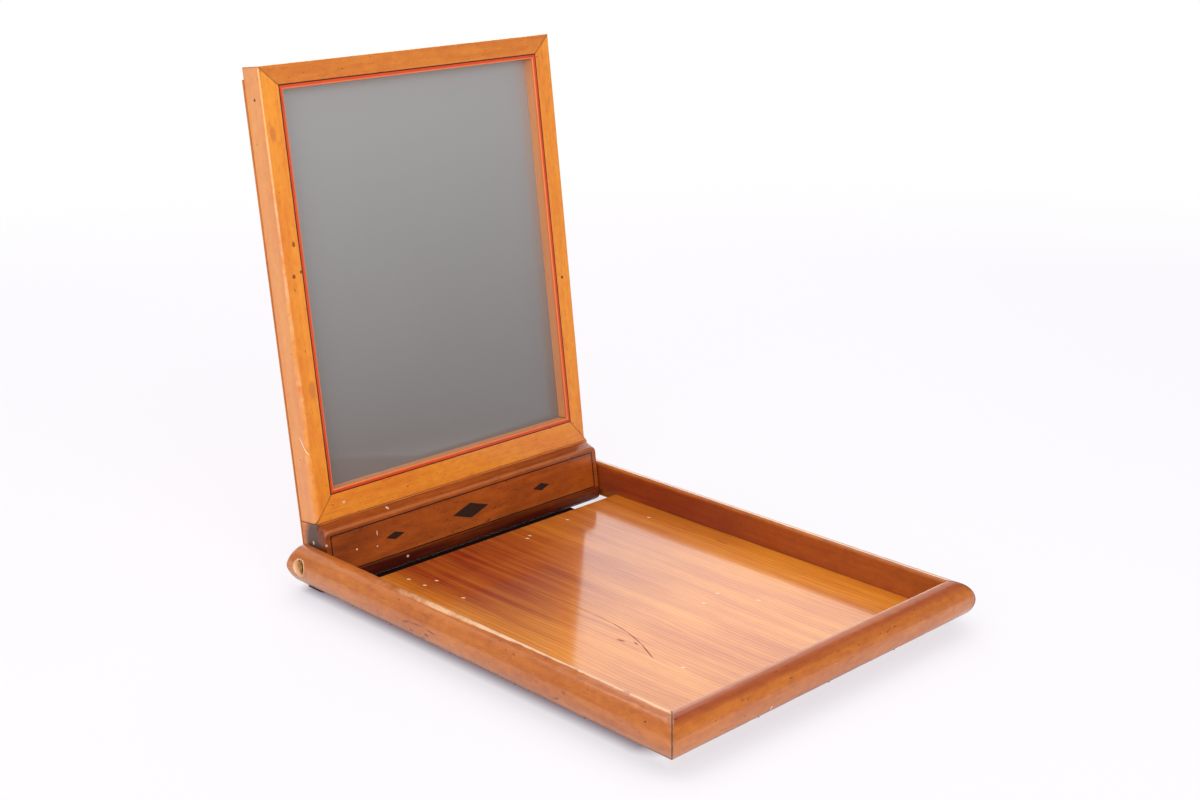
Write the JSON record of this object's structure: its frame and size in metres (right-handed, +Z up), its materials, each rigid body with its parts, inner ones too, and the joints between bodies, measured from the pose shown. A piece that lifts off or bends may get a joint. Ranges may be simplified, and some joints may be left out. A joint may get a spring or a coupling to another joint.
{
  "type": "folding travel mirror",
  "caption": "Folding wooden travel mirror: a framed leaf stands up from a shallow tray with half-round rails and closes face down into it.",
  "frame": {"origin": "middle of the box around the opened mirror, on the table that its runners and batten stand on", "axes": "+Z up, -Y the front, towards which the mirror faces, +X to the right for a viewer who looks along +Y"},
  "size_m": [0.2564, 0.3644, 0.3195],
  "materials": {
    "frame_wood": "polished fruitwood with fine straight grain, warm orange, worn and darker at edges",
    "rail_wood": "polished fruitwood with lengthwise grain, worn pale along the upper edges",
    "tray_floor_wood": "glossy polished fruitwood board with bold grain and scratches",
    "plaque_wood": "dark stained and polished wood, worn lighter in the middle",
    "back_wood": "plain unpolished board, dry and dusty",
    "runner_wood": "dark plain wood, unpolished",
    "block_wood": "raw glued softwood blocks",
    "dark_line_wood": "very dark stained inlay strip",
    "red_line_wood": "orange-red stained inlay strip",
    "glass": "clear old plate glass",
    "silvering": "mirror silvering seen through the glass",
    "brown_paper": "brown backing paper",
    "old_brass": "tarnished brass, chipped and dull",
    "dull_steel": "dull, partly rusted iron nails and screws"
  },
  "bodies": {
    "tray": {"floor_board": "tray_floor_wood", "left_runner": "runner_wood", "right_runner": "runner_wood", "rear_batten": "runner_wood", "runner_screws": "dull_steel", "left_side_rail": "rail_wood", "right_side_rail": "rail_wood", "front_rail": "rail_wood", "tray_brads": "dull_steel", "left_washer": "old_brass", "right_washer": "old_brass"},
    "leaf": {"left_stile": "frame_wood", "right_stile": "frame_wood", "frame_top_rail": "frame_wood", "frame_bottom_rail": "frame_wood", "mitre_nails": "dull_steel", "dark_stringing": "dark_line_wood", "red_stringing": "red_line_wood", "mirror_glass": "glass", "mirror_silvering": "silvering", "backing_paper": "brown_paper", "glue_blocks": "block_wood", "back_board": "back_wood", "back_board_pins": "dull_steel", "foot_block": "frame_wood", "plaque_board": "plaque_wood", "plaque_border": "dark_line_wood", "plaque_lozenges": "dark_line_wood", "left_pivot_screw": "old_brass", "right_pivot_screw": "old_brass"}
  },
  "joints": [
    {"name": "leaf_hinge", "type": "hinge", "parent": "tray", "child": "leaf", "pos_m": [0, 0.13377, 0.0199], "axis": [1, 0, 0], "range_deg": [0, 97]}
  ]
}
